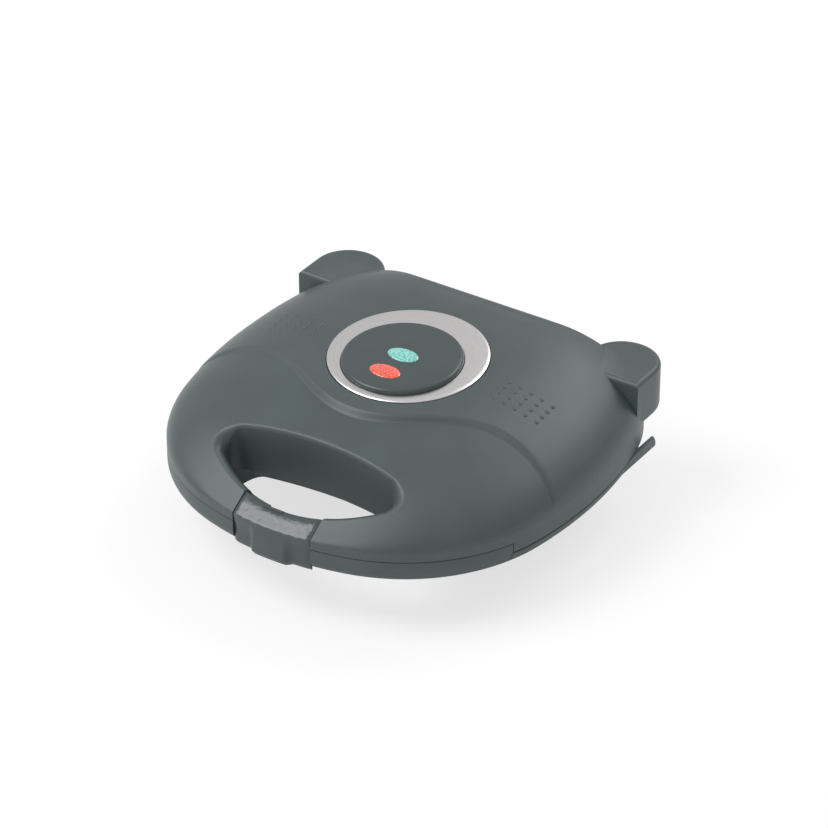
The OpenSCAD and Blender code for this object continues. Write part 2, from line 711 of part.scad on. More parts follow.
module oval(w, d, z0, z1) {
    translate([0, 0, z0]) linear_extrude(z1 - z0)
        polygon([for (a = [0:15:345]) [w / 2 * cos(a), d / 2 * sin(a)]]);
}
module trim_ring() {
    color(bright) ring_plane() difference() {
        rotate_extrude() polygon([
            [0, -ring_sink], [ring_d / 2, -ring_sink], [ring_d / 2, 0.2],
            [ring_d / 2 - 0.6, 0.7], [0, 0.9]]);
        translate([0, -panel_shift, -10]) cylinder(d = panel_d + 0.4, h = 20);
    }
}
module lamp_panel() {
    r = panel_d / 2;
    color(moulding) ring_plane() difference() {
        translate([0, -panel_shift, 0]) rotate_extrude() polygon(concat(
            [[0, panel_rise - 2.2], [r - 2.4, panel_rise - 2.2], [r - 2.4, -ring_sink],
             [r, -ring_sink]],
            arc([r - 1.8, panel_rise - 1.8], 1.8, 0, 90, 4), [[0, panel_rise]]));
        for (s = [green_shift, red_shift]) translate([0, -s, 0]) oval(lens_w, lens_d, 0, 10);
    }
}
module lens(shift) {
    ring_plane() translate([0, -shift, 0]) {
        oval(lens_w, lens_d, panel_rise - 2.2, panel_rise + 0.3);
        oval(lens_w - 2.4, lens_d - 2.4, panel_rise + 0.3 - eps, panel_rise + 0.8);
        oval(lens_w + 2, lens_d + 2, panel_rise - 3.4, panel_rise - 2.2);
    }
}
module green_lens() {
    color([0.25, 0.62, 0.58]) lens(green_shift);
}
module red_lens() {
    color([0.78, 0.2, 0.16]) lens(red_shift);
}
lamp_z = panel_rise - 6.6;
module lamp_holder() {
    color([0.85, 0.83, 0.76]) ring_plane() translate([0, -panel_shift, 0]) difference() {
        translate([-12.5, -22, lamp_z - 3.2]) cube([25, 32, 2.2]);
        translate([-4, -12, lamp_z - 5]) cube([8, 8, 8]);
    }
}
module neon_lamps() {
    color([0.9, 0.75, 0.6]) ring_plane() for (s = [green_shift, red_shift])
        translate([-6, -s, lamp_z + 1]) rotate([0, 90, 0]) cylinder(d = 4, h = 12);
}
module thermostat() {
    color([0.75, 0.74, 0.7]) translate([0, plate_mid_y + 6, 0]) upside_down()
        translate([0, 0, plate_face_z - flange_t - 9]) {
            cylinder(d = 13, h = 6);
            translate([0, 0, 6 - eps]) cylinder(d = 9, h = 3);
        }
}
module thermal_fuse() {
    color([0.8, 0.8, 0.78]) translate([-6, -20, 46.5]) rotate([0, 90, 0]) cylinder(d = 4, h = 12);
}

module latch_clip() {
    color(gloss) difference() {
        union() {
            intersection() {
                difference() {
                    domed_body("apron", 0, 20);
                    domed_body("apron", latch_wall, 10);
                }
                latch_span(latch_w, rim_z - 0.6);
            }
            translate([latch_slot[0], latch_y, latch_axis_z]) {
                rotate([0, 90, 0]) cylinder(d = latch_boss_d, h = knuckle_w);
                translate([0, -latch_boss_d / 2, 0]) cube([knuckle_w, latch_boss_d, 4.6]);
            }
            translate([-tab_w / 2, -front_reach - tab_rise + 5, rim_z + 5.5]) rotate([0, 90, 0])
                intersection() {
                    cylinder(r = 5, h = tab_w);
                    translate([-10, -10, 0]) cube([20, 5 + tab_rise + latch_wall - 0.3, tab_w]);
                }
        }
        lid_opening(0);
        latch_axis(latch_pin_d + 2 * fit, far);
    }
}
module latch_pin() {
    color(bright) latch_axis(latch_pin_d, latch_w - 3);
}
module latch_spring() {
    color(bright) difference() {
        translate([latch_slot[0] + knuckle_w + 0.5, latch_y, latch_axis_z]) rotate([0, 90, 0])
            cylinder(d = latch_boss_d, h = spring_w);
        latch_axis(latch_pin_d + 0.2, far);
    }
}

lower_housing();
rubber_feet();
hinge_pins();
cord_grommet();
terminal_block();
lower_plate();
lower_plate_screws();
lower_heater();
lower_reflector();
lower_reflector_screws();
earth_tag();
upper_housing();
trim_ring();
lamp_panel();
green_lens();
red_lens();
lamp_holder();
neon_lamps();
upper_plate();
upper_plate_screws();
upper_heater();
upper_reflector();
upper_reflector_screws();
thermostat();
thermal_fuse();
latch_clip();
latch_pin();
latch_spring();
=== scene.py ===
"""Looks for a two-slice sandwich toaster: a satin moulded case with a carrying
handle, a glossy latch, a brushed trim ring with two lamps, and coated plates.
Lengths here are in millimetres, and each mesh is brought to metres as it is finished."""
import math

import bmesh
import bpy
from mathutils import Matrix, Vector, kdtree


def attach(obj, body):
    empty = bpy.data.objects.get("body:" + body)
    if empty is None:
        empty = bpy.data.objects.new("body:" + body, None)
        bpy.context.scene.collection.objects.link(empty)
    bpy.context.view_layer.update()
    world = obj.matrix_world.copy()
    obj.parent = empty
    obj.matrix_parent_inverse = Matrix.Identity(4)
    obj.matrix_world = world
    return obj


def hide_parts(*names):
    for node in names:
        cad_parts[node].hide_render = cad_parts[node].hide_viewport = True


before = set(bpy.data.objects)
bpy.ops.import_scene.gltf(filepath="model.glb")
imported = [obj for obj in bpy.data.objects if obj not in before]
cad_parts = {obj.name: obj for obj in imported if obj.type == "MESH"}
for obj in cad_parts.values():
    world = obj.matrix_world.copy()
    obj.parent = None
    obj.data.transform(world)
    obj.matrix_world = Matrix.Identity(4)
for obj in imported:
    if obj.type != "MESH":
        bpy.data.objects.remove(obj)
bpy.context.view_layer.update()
MM = 0.001

# ---------------------------------------------------------------- sizes shared with the solids
BODY_W, FRONT_REACH, REAR_REACH, WIDEST_Y = 229.2, 108.1, 95.5, 16.4
FRONT_R, CORNER_R, SIDE_R, TAIL_R = 158.0, 94.4, 242.0, 81.0
CROWN_Z, JOINT_Z, GRIP_JOINT_Z, RIM_Z, FLOOR_Z = 81.5, 34.6, 40.2, 27.2, 5.0
JOINT_GAP, WALL = 0.6, 3.0
LID_FOOT_Z, GRIP_FOOT_Z = JOINT_Z + JOINT_GAP, GRIP_JOINT_Z + JOINT_GAP / 2
CROWN_SLOPE, APRON_SLOPE = math.tan(math.radians(3.2)), math.tan(math.radians(6.0))
APRON_Z, APRON_FALL, SHOULDER_W, SHOULDER_FOOT_Z, REAR_ROUND = 72.7, 7.0, 78.0, 45.0, 9.0
CREASE_PEAK_X, CREASE_PEAK_Y, CREASE_DIP_Y = 77.0, -8.7, -36.0
GRIP_REAR_Y, GRIP_FRONT_Y, GRIP_REAR_R, GRIP_FRONT_R, GRIP_END_R = -60.2, -92.2, 230.0, 80.0, 6.5
HANDLE_END_Y, BASE_DRAW, HANDLE_EASE = -45.6, 16.0, 5.5
EAR_X, EAR_Y, EAR_R, EAR_TOP_Z, EAR_FOOT_Z, EAR_RUN = 86.5, 90.0, 20.0, 72.0, 42.5, 18.0
HINGE_Y, HINGE_Z, ARM_T, KNUCKLE_R = 85.0, 50.0, 8.0, 7.5
RING_D, RING_Y, PANEL_D, PANEL_SHIFT, PANEL_RISE, RING_SINK = 85.0, 18.5, 64.0, 5.7, 3.4, 1.6
LENS_W, LENS_D, GREEN_SHIFT, RED_SHIFT = 17.8, 10.8, 4.9, 21.8
PLATE_W, PLATE_Y0, PLATE_Y1, PLATE_Z = 200.0, -36.0, 70.0, 35.2
LATCH_W, LATCH_GAP, LATCH_WALL, TAB_W, TAB_RISE = 46.4, 0.5, 2.6, 21.6, 2.0
LATCH_Y, LATCH_Z, LATCH_BOSS_R, LATCH_BORE_R = -97.1, 46.0, 2.4, 1.55
BASE_REAR_Y, LUG_T, LUG_X, LUG_Y0, LUG_Y1, LUG_GAP = 72.6, 3.4, 112.0, 44.0, 86.0, 1.2
BELLY_TOP, BELLY_LOW = (102.0, -37.0, 72.0, 26.0), (82.0, -3.0, 66.0, 22.0)
FOOT_Y = (BELLY_LOW[1] + BELLY_LOW[2]) / 2
FEET = [(sx * 64.0, FOOT_Y + sy * 23.0) for sx in (-1, 1) for sy in (-1, 1)]
SCREWS = [(95.0, 17.0), (-95.0, 17.0), (0.0, -31.0), (0.0, 65.0)]
GROMMET_X, GROMMET_Z = -44.0, 19.0
FAR, HIGH = 200, 120  # beyond every piece, for cutting blocks


# ---------------------------------------------------------------- curves
def polar(centre, r, degrees):
    a = math.radians(degrees)
    return (centre[0] + r * math.cos(a), centre[1] + r * math.sin(a))


def bearing(a, b):
    return math.degrees(math.atan2(b[1] - a[1], b[0] - a[0]))


def meet(c0, r0, c1, r1, side):
    dx, dy = c1[0] - c0[0], c1[1] - c0[1]
    span = math.hypot(dx, dy)
    along = (r0 * r0 - r1 * r1 + span * span) / (2 * span)
    off = side * math.sqrt(r0 * r0 - along * along)
    return (c0[0] + (along * dx - off * dy) / span, c0[1] + (along * dy + off * dx) / span)


def arc(centre, r, a0, a1, n):
    return [polar(centre, r, a0 + (a1 - a0) * i / n) for i in range(n + 1)]


def both_halves(half):
    """Closes a right-hand half curve with its mirror image."""
    inner = half[1:-1] if abs(half[-1][0]) < 1e-6 else half[1:]
    return half + [(-x, y) for x, y in reversed(inner)]


def even(points, n):
    """n points evenly spaced along a closed curve."""
    loop = points + points[:1]
    total = [0.0]
    for a, b in zip(loop, loop[1:]):
        total.append(total[-1] + math.dist(a, b))
    out, k = [], 0
    for i in range(n):
        want = total[-1] * i / n
        while total[k + 1] < want:
            k += 1
        t = (want - total[k]) / (total[k + 1] - total[k])
        out.append(tuple(p + (q - p) * t for p, q in zip(loop[k], loop[k + 1])))
    return out


FRONT_C = (0.0, FRONT_R - FRONT_REACH)
SIDE_C = (BODY_W / 2 - SIDE_R, WIDEST_Y)
CORNER_C = meet(SIDE_C, SIDE_R - CORNER_R, FRONT_C, FRONT_R - CORNER_R, -1)
FRONT_A, SIDE_A = bearing(FRONT_C, CORNER_C), bearing(SIDE_C, CORNER_C)
SIDE_END_A = math.degrees(math.asin((HINGE_Y - 18 - WIDEST_Y) / SIDE_R))
TAIL_C = polar(SIDE_C, SIDE_R - TAIL_R, SIDE_END_A)


def outline_half(inset):
    return (arc(FRONT_C, FRONT_R - inset, -90, FRONT_A, 60)
            + arc(CORNER_C, CORNER_R - inset, FRONT_A, SIDE_A, 90)[1:]
            + arc(SIDE_C, SIDE_R - inset, SIDE_A, SIDE_END_A, 80)[1:]
            + arc(TAIL_C, TAIL_R - inset, SIDE_END_A, 90, 90)[1:])


def plan(inset, rear_y):
    """The plan outline drawn in by inset, and cut straight across at rear_y."""
    half = outline_half(inset)
    kept = [p for p in half if p[1] < rear_y]
    a, b = kept[-1], half[len(kept)]
    t = (rear_y - a[1]) / (b[1] - a[1])
    return both_halves(kept + [(a[0] + (b[0] - a[0]) * t, rear_y)])


def grip(grow, draw=0.0):
    """The lens-shaped grip opening, with its rear edge drawn back by draw."""
    rear_c, fore_c = (0, GRIP_REAR_Y - GRIP_REAR_R), (0, GRIP_FRONT_Y + GRIP_FRONT_R)
    rr, fr, er = GRIP_REAR_R + grow, GRIP_FRONT_R + grow, GRIP_END_R + grow
    end_c = meet(rear_c, rr - er, fore_c, fr - er, -1)
    a0, a1 = bearing(fore_c, end_c), bearing(rear_c, end_c)
    half = (arc(fore_c, fr, -90, a0, 48) + arc(end_c, er, a0, a1, 30)[1:]
            + arc(rear_c, rr, a1, 90, 48)[1:])
    return both_halves([(x, y + draw * min(1, max(0, (y - end_c[1] + er) / (2 * er))))
                        for x, y in half])


def near(points, n):
    tree = kdtree.KDTree(n)
    for i, p in enumerate(even(points, n)):
        tree.insert((p[0], p[1], 0), i)
    tree.balance()
    return tree


EDGE_TREE = near(both_halves(outline_half(0)), 3600)


def crease_y(x):
    u = abs(x) / CREASE_PEAK_X
    if u < 1:
        return CREASE_DIP_Y + (CREASE_PEAK_Y - CREASE_DIP_Y) * (1 - math.cos(math.pi * u)) / 2
    return CREASE_PEAK_Y - 20 * (1 - math.cos(math.radians(min(90, 120 * (u - 1)))))


def ease(a, b, x):
    t = min(1.0, max(0.0, (x - a) / (b - a)))
    return t * t * (3 - 2 * t)


def swell(t):
    return math.sqrt(max(0.0, 1 - (1 - min(1.0, max(0.0, t))) ** 2))


CREASE_SOFT = 2.4
TAIL_Y = TAIL_C[1] + TAIL_R


def crown(y):
    return CROWN_Z + (y - RING_Y) * CROWN_SLOPE


def apron(y):
    fall = max(0.0, GRIP_REAR_Y - y) / 30
    return APRON_Z + (y - GRIP_REAR_Y) * APRON_SLOPE - APRON_FALL * fall * fall


def tail(y):
    return SHOULDER_FOOT_Z + (crown(y) - SHOULDER_FOOT_Z) * swell((TAIL_Y - y) / SHOULDER_W)


REAR_Y0 = REAR_REACH - REAR_ROUND
REAR_SLOPE = (tail(REAR_Y0 - 2) - tail(REAR_Y0)) / 2
REAR_Z0 = tail(REAR_Y0) - REAR_ROUND / math.cos(math.atan(REAR_SLOPE) + math.radians(2)) - 0.4


def lid_height(x, y, skin=0.0):
    """Height of the lid's upper surface over a point of its plan."""
    inset = EDGE_TREE.find((x, y, 0))[2]
    form = crown(y) if skin == 0 else min(crown(y), apron(y))
    if skin == 0:
        above = ease(-CREASE_SOFT, CREASE_SOFT, y - crease_y(x))
        form = apron(y) + (crown(y) - apron(y)) * above
    t = (inset - skin) / (SHOULDER_W - skin)
    z = SHOULDER_FOOT_Z + (form - skin - SHOULDER_FOOT_Z) * swell(t)
    if y > REAR_Y0 - REAR_ROUND:
        r = REAR_ROUND - skin
        back = min(max(0.0, y - REAR_Y0), r)
        z = min(z, REAR_Z0 + math.sqrt(r * r - back * back)
                + (max(0.0, REAR_Y0 - y)) * REAR_SLOPE + (0.4 if skin == 0 else 0))
    return z


# ---------------------------------------------------------------- mesh helpers
def skin_over(nu, nv, place):
    """A tube of nu by nv squares with each corner put where place(i, j) says."""
    bm = bmesh.new()
    bmesh.ops.create_grid(bm, x_segments=nu, y_segments=nv, size=0.5)
    for v in bm.verts:
        i, j = round((v.co.x + 0.5) * nu), round((v.co.y + 0.5) * nv)
        v.co = place(i % nu, j)
    bmesh.ops.remove_doubles(bm, verts=bm.verts, dist=1e-4)
    return bm


def cap_ends(bm):
    """Fills the open loops."""
    bmesh.ops.holes_fill(bm, edges=[e for e in bm.edges if e.is_boundary], sides=0)
    bmesh.ops.recalc_face_normals(bm, faces=bm.faces)
    return bm


def stack(rings):
    """A closed solid through level rings that all have the same number of points."""
    n = len(rings[0])
    return cap_ends(skin_over(n, len(rings) - 1, lambda i, j: rings[j][i]))


def prism(points, z0, z1):
    return stack([[(x, y, z) for x, y in points] for z in (z0, z1)])


def block(x0, x1, y0, y1, z0, z1):
    bm = bmesh.new()
    bmesh.ops.create_cube(bm, size=1)
    for v in bm.verts:
        v.co = (x1 if v.co.x > 0 else x0, y1 if v.co.y > 0 else y0, z1 if v.co.z > 0 else z0)
    return bm


def soften(bm, width, segments=3, angle=30):
    """Rounds the edges that turn by more than angle."""
    limit = math.radians(angle)
    edges = [e for e in bm.edges if e.is_manifold and e.calc_face_angle() > limit]
    bmesh.ops.bevel(bm, geom=edges, offset=width, segments=segments, affect="EDGES",
                    profile=0.5, material=-1, clamp_overlap=True)
    return bm


def turned(profile, n=64, centre=(0, 0)):
    """A solid of revolution about a vertical line, from (radius, height) pairs."""
    pole0, pole1 = profile[0][0] < 1e-6, profile[-1][0] < 1e-6
    bm = skin_over(n, len(profile) - 1, lambda i, j: (
        centre[0] + profile[j][0] * math.cos(2 * math.pi * i / n),
        centre[1] + profile[j][0] * math.sin(2 * math.pi * i / n), profile[j][1]))
    if not (pole0 and pole1):
        cap_ends(bm)
    bmesh.ops.recalc_face_normals(bm, faces=bm.faces)
    return bm


def across(radius, x0, x1, y, z, n=40):
    """A round bar that lies across the appliance."""
    bm = turned([(0, x0), (radius, x0), (radius, x1), (0, x1)], n)
    turn = Matrix(((0, 0, 1), (1, 0, 0), (0, 1, 0))).to_4x4()
    bmesh.ops.transform(bm, matrix=Matrix.Translation((0, y, z)) @ turn, verts=bm.verts)
    return bm


def mirrored(bm):
    """bm and its image on the other side of the middle."""
    copy = bm.copy()
    bmesh.ops.scale(copy, vec=(-1, 1, 1), verts=copy.verts)
    bmesh.ops.reverse_faces(copy, faces=copy.faces)
    return joined(bm, copy)


def joined(*parts):
    """Several closed forms in one mesh."""
    mesh = bpy.data.meshes.new("joined")
    out = bmesh.new()
    for bm in parts:
        bm.to_mesh(mesh)
        out.from_mesh(mesh)
        bm.free()
    bpy.data.meshes.remove(mesh)
    return out


def combine(bm, other, how):
    """bm with the closed form other added, cut away or kept in common."""
    holders = []
    for part in (bm, other):
        mesh = bpy.data.meshes.new("holder")
        part.to_mesh(mesh)
        part.free()
        holders.append(bpy.data.objects.new("holder", mesh))
        bpy.context.scene.collection.objects.link(holders[-1])
    step = holders[0].modifiers.new("step", "BOOLEAN")
    step.operation, step.solver, step.object = how, "MANIFOLD", holders[1]
    result = holders[0].evaluated_get(bpy.context.evaluated_depsgraph_get())
    out = bmesh.new()
    out.from_mesh(result.to_mesh())
    result.to_mesh_clear()
    for holder in holders:
        mesh = holder.data
        bpy.data.objects.remove(holder)
        bpy.data.meshes.remove(mesh)
    return out


def cut(bm, *others):
    for other in others:
        bm = combine(bm, other, "DIFFERENCE")
    return bm


def add(bm, *others):
    for other in others:
        bm = combine(bm, other, "UNION")
    return bm


def common(bm, other):
    return combine(bm, other, "INTERSECT")


SHARP_ANGLE = 32  # degrees; edges that turn by more are shaded as edges


def finish_piece(name, bm, body, nodes, slot, material):
    """Brings a mesh to metres and makes it a piece that stands for CAD nodes."""
    bmesh.ops.scale(bm, vec=(MM, MM, MM), verts=bm.verts)
    for face in bm.faces:
        face.smooth = True
    mesh = bpy.data.meshes.new(name)
    bm.to_mesh(mesh)
    bm.free()
    mesh.set_sharp_from_angle(angle=math.radians(SHARP_ANGLE))
    piece = bpy.data.objects.new(name, mesh)
    bpy.context.scene.collection.objects.link(piece)
    mesh.materials.append(material)
    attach(piece, body)
    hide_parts(*nodes)
    return piece


# ---------------------------------------------------------------- shader helpers
class Socket:
    """A shader value that can be written into sums."""

    def __init__(self, shader, link):
        self.shader, self.link = shader, link

    def math(self, operation, *values):
        return self.shader.node("ShaderNodeMath", {"operation": operation}, *values)

    def __add__(self, other):
        return self.math("ADD", self, other)

    def __radd__(self, other):
        return self.math("ADD", other, self)

    def __sub__(self, other):
        return self.math("SUBTRACT", self, other)

    def __rsub__(self, other):
        return self.math("SUBTRACT", other, self)

    def __mul__(self, other):
        return self.math("MULTIPLY", self, other)

    def __rmul__(self, other):
        return self.math("MULTIPLY", other, self)

    def __truediv__(self, other):
        return self.math("DIVIDE", self, other)

    def power(self, other):
        return self.math("POWER", self, other)

    def between(self, low, high):
        """0 at low and 1 at high, held at both ends."""
        return self.shader.node("ShaderNodeMapRange", {"clamp": True}, self, low, high, 0.0, 1.0)


class Finish:
    """A material made from a Principled shader and the nodes that feed it."""

    def __init__(self, name, colour, rough, **fixed):
        self.material = bpy.data.materials.new(name)
        self.material.use_nodes = True
        self.tree = self.material.node_tree
        self.shader = self.tree.nodes["Principled BSDF"]
        self.material.diffuse_color = (*colour, 1)
        self.set("Base Color", (*colour, 1))
        self.set("Roughness", rough)
        for key, value in fixed.items():
            self.set(key.replace("_", " "), value)
        self.place = self.node("ShaderNodeTexCoord", {"out": "Object"})

    def set(self, name, value):
        socket = self.shader.inputs[name]
        if isinstance(value, Socket):
            self.tree.links.new(value.link, socket)
        else:
            socket.default_value = value

    def node(self, kind, settings=None, *values, **named):
        """One node: settings first, then the values or links of its sockets."""
        made = self.tree.nodes.new(kind)
        settings = dict(settings or {})
        out = settings.pop("out", 0)
        for stop, (at, colour) in enumerate(settings.pop("stops", ())):
            ramp = made.color_ramp.elements
            spot = ramp[stop] if stop < 2 else ramp.new(at)
            spot.position, spot.color = at, (*colour, 1)
        for key, value in settings.items():
            setattr(made, key, value)
        inputs = list(zip(made.inputs, values))
        inputs += [(made.inputs[key.replace("_", " ")], value) for key, value in named.items()]
        for socket, value in inputs:
            if isinstance(value, Socket):
                self.tree.links.new(value.link, socket)
            elif value is not None:
                socket.default_value = value
        return Socket(self, made.outputs[out])

    def noise(self, scale, detail=2.0, at=None):
        return self.node("ShaderNodeTexNoise", None, Vector=at or self.place, Scale=scale,
                         Detail=detail, Roughness=0.5)

    def tint(self, mask, low, high):
        """A colour that goes from low to high with a mask."""
        mix = self.tree.nodes.new("ShaderNodeMix")
        mix.data_type = "RGBA"
        self.tree.links.new(mask.link, mix.inputs["Factor"])
        mix.inputs[6].default_value, mix.inputs[7].default_value = (*low, 1), (*high, 1)
        return Socket(self, mix.outputs[2])

    def bump(self, height, depth, strength=1.0, under=None):
        return self.node("ShaderNodeBump", None, Height=height, Distance=depth,
                         Strength=strength, Normal=under)


def moulded(name, colour, rough, grain):
    """Moulded plastic: fine grain, faint cloudiness and a little dust in the grain."""
    f = Finish(name, colour, rough, Specular_IOR_Level=0.45)
    mottle = 0.06
    cloud = f.noise(38, 3)
    f.set("Base Color", f.tint(cloud.between(0.3, 0.7), tuple(c * (1 - mottle) for c in colour),
                               tuple(c * (1 + mottle) for c in colour)))
    speck = f.noise(2600, 2)
    f.set("Roughness", rough + 0.10 * (cloud - 0.5) + 0.10 * (speck - 0.5))
    f.set("Normal", f.bump(speck, grain, 0.6, f.bump(f.noise(900, 1), grain * 1.6, 0.4)))
    return f.material


MOULDING = moulded("case_moulding", (0.064, 0.083, 0.085), 0.42, 0.00003)
PANEL = moulded("panel_moulding", (0.056, 0.072, 0.074), 0.30, 0.00001)


def latch_finish():
    """Polished moulding with the slight waviness that breaks up its highlights."""
    colour = (0.050, 0.064, 0.066)
    f = Finish("latch_moulding", colour, 0.2, Specular_IOR_Level=0.55)
    ripple = f.noise(260, 3)
    f.set("Base Color", f.tint(f.noise(60, 2).between(0.3, 0.7), tuple(0.92 * c for c in colour),
                               tuple(1.1 * c for c in colour)))
    f.set("Roughness", 0.16 + 0.14 * f.noise(700, 2))
    f.set("Normal", f.bump(ripple, 0.0006, 0.35, f.bump(f.noise(1800, 2), 0.00002, 0.5)))
    return f.material


def brushed(name, colour, rough, centre):
    """Metal brushed in circles about a centre."""
    f = Finish(name, colour, rough, Metallic=1.0)
    parts = f.node("ShaderNodeSeparateXYZ", None, f.place)
    x = Socket(f, parts.link.node.outputs[0]) - centre[0]
    y = Socket(f, parts.link.node.outputs[1]) - centre[1]
    radius = (x * x + y * y).power(0.5)
    turn, lines = x.math("ARCTAN2", y, x), 900.0
    spot = f.node("ShaderNodeCombineXYZ", None, radius * lines, turn * 1.3, 0.0)
    streak = f.noise(6, 3, spot)
    broad = f.noise(1.4, 2, spot)
    f.set("Base Color", f.tint(broad.between(0.3, 0.7), tuple(0.93 * c for c in colour), colour))
    f.set("Roughness", rough + 0.16 * (streak - 0.5))
    f.set("Normal", f.bump(streak, 0.00003, 0.5))
    return f.material


def brushed_flat(name, colour, rough, stretch):
    """Sheet metal with its rolling marks along one direction."""
    f = Finish(name, colour, rough, Metallic=1.0)
    long = f.node("ShaderNodeMapping", None, Vector=f.place, Scale=stretch)
    marks = f.noise(40, 4, long)
    cloud = f.noise(55, 3)
    f.set("Base Color", f.tint(cloud.between(0.35, 0.7), tuple(0.9 * c for c in colour), colour))
    f.set("Roughness", rough + 0.2 * (marks - 0.5))
    f.set("Normal", f.bump(marks, 0.00003, 0.4))
    return f.material


def lens_finish(name, deep, pale):
    """Tinted lens with a fine moulded pattern under a polished face, and a faint painted glow from
    its pale cells.
    """
    f = Finish(name, deep, 0.22, Coat_Weight=0.7, Coat_Roughness=0.06)
    cells = f.node("ShaderNodeTexVoronoi", None, Vector=f.place, Scale=900.0)
    pattern_and_painted_glow = (cells * 1.3).between(0.1, 0.9)
    f.set("Base Color", f.tint(pattern_and_painted_glow, deep, pale))
    f.set("Normal", f.bump(cells, 0.00012, 0.5))
    # Painted glow: the lens's pattern also feeds a faint emission, so the lens shines by itself
    # while the lamp under it gives no light.
    f.set("Emission Color", f.tint(pattern_and_painted_glow, tuple(0.9 * c for c in deep), pale))
    f.set("Emission Strength", 0.12)
    return f.material


def coated():
    """Non-stick coating: dark, slightly pebbled, with small bright flecks."""
    colour = (0.030, 0.030, 0.033)
    f = Finish("plate_coating", colour, 0.36, Specular_IOR_Level=0.5)
    fleck = f.node("ShaderNodeTexVoronoi", None, Vector=f.place, Scale=950.0)
    light = 1 - fleck.between(0.05, 0.13)
    f.set("Base Color", f.tint(light * 0.35, colour, (0.16, 0.16, 0.165)))
    pebble = f.noise(420, 3)
    f.set("Roughness", 0.30 + 0.2 * pebble)
    f.set("Normal", f.bump(pebble, 0.00008, 0.35, f.bump(f.noise(1700, 1), 0.00002, 0.5)))
    return f.material


def plain(name, colour, rough, grain_scale, grain, metallic=0.0, spread=0.12):
    f = Finish(name, colour, rough, Metallic=metallic)
    cloud = f.noise(70, 3)
    grit = f.noise(grain_scale, 3)
    f.set("Base Color", f.tint(cloud.between(0.3, 0.7), tuple(c * (1 - spread) for c in colour),
                               tuple(min(1, c * (1 + spread)) for c in colour)))
    f.set("Roughness", rough + 0.16 * (grit - 0.5))
    f.set("Normal", f.bump(grit, grain, 0.5))
    return f.material


LATCH = latch_finish()
TRIM = brushed("brushed_trim", (0.86, 0.845, 0.84), 0.30, (0, RING_Y * MM))
GREEN = lens_finish("green_lens", (0.06, 0.30, 0.26), (0.25, 0.62, 0.56))
RED = lens_finish("red_lens", (0.55, 0.035, 0.025), (0.85, 0.16, 0.10))
COATING = coated()
RUBBER = plain("rubber", (0.022, 0.022, 0.022), 0.8, 1500, 0.00004)
PORCELAIN = plain("porcelain", (0.70, 0.67, 0.58), 0.55, 800, 0.00003, 0, 0.05)
CARRIER = plain("lamp_carrier", (0.68, 0.66, 0.60), 0.5, 900, 0.00002, 0, 0.04)
HEATER = plain("heater_sheath", (0.20, 0.17, 0.155), 0.4, 900, 0.00003, 1.0, 0.35)
SHEET = brushed_flat("sheet_steel", (0.62, 0.62, 0.61), 0.34, (2, 60, 10))
PLATED = plain("plated_steel", (0.62, 0.61, 0.58), 0.28, 1200, 0.00002, 1.0, 0.08)
GLASS = plain("lamp_glass", (0.86, 0.62, 0.42), 0.08, 500, 0.00001, 0, 0.15)
FUSE = brushed_flat("fuse_case", (0.66, 0.65, 0.62), 0.3, (60, 4, 4))

BY_NODE = {
    "hinge_pins": PLATED, "terminal_block": PORCELAIN, "lower_plate_screws": PLATED,
    "upper_plate_screws": PLATED, "lower_heater": HEATER, "upper_heater": HEATER,
    "lower_reflector": SHEET, "upper_reflector": SHEET, "lower_reflector_screws": PLATED,
    "upper_reflector_screws": PLATED, "earth_tag": SHEET, "lamp_holder": CARRIER,
    "neon_lamps": GLASS, "thermostat": SHEET, "thermal_fuse": FUSE, "latch_pin": PLATED,
    "latch_spring": PLATED, "lower_plate": COATING, "upper_plate": COATING,
    "cord_grommet": RUBBER}
for node, material in BY_NODE.items():
    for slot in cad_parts[node].material_slots:
        slot.material = material


# ---------------------------------------------------------------- lid
POLE_Y = 60.0
RING_AT = Matrix.Translation((0, RING_Y, CROWN_Z)) @ Matrix.Rotation(math.radians(3.2), 4, "X")


def at_ring(bm):
    """Carries a form made about the vertical to the trim ring's tilted seat."""
    bmesh.ops.transform(bm, matrix=RING_AT, verts=bm.verts)
    return bm


CREASE_LIMIT = 0.985  # the furthest out that the close rows may lie


def crossing(x, y):
    """How far along the line from the pole to an edge point the crease lies."""
    low, high = 0.2, 1.0
    if y > crease_y(x):
        return CREASE_LIMIT
    for _ in range(22):
        mid = (low + high) / 2
        if POLE_Y + (y - POLE_Y) * mid > crease_y(x * mid):
            low = mid
        else:
            high = mid
    return min(low, CREASE_LIMIT)


def lid_form(skin, n, inner, band, outer):
    """The domed lid as a solid, drawn in by skin. Its rows run from a pole out to the edge,
    close together at the crease and at the edge, and then down past its foot."""
    edge = even(plan(skin, REAR_REACH - skin), n)
    rows, wall_rows, wall_end = inner + band + outer, 6, 30.0
    steps = []
    for x, y in edge:
        t = crossing(x, y)
        near_by = 4.5 / math.hypot(x, y - POLE_Y)
        a, b = t - near_by, min(t + near_by, 0.992)
        steps.append([a * k / inner for k in range(inner)]
                     + [a + (b - a) * k / band for k in range(band)]
                     + [b + (1 - b) * (1 - (1 - k / outer) ** 2) for k in range(outer + 1)])

    def place(i, j):
        x, y = edge[i]
        if j > rows:
            top = lid_height(x, y, skin)
            return (x, y, top + (wall_end - top) * (j - rows) / wall_rows)
        t = steps[i][j]
        px, py = x * t, POLE_Y + (y - POLE_Y) * t
        return (px, py, lid_height(px, py, skin))
    return cap_ends(skin_over(n, rows + wall_rows, place))


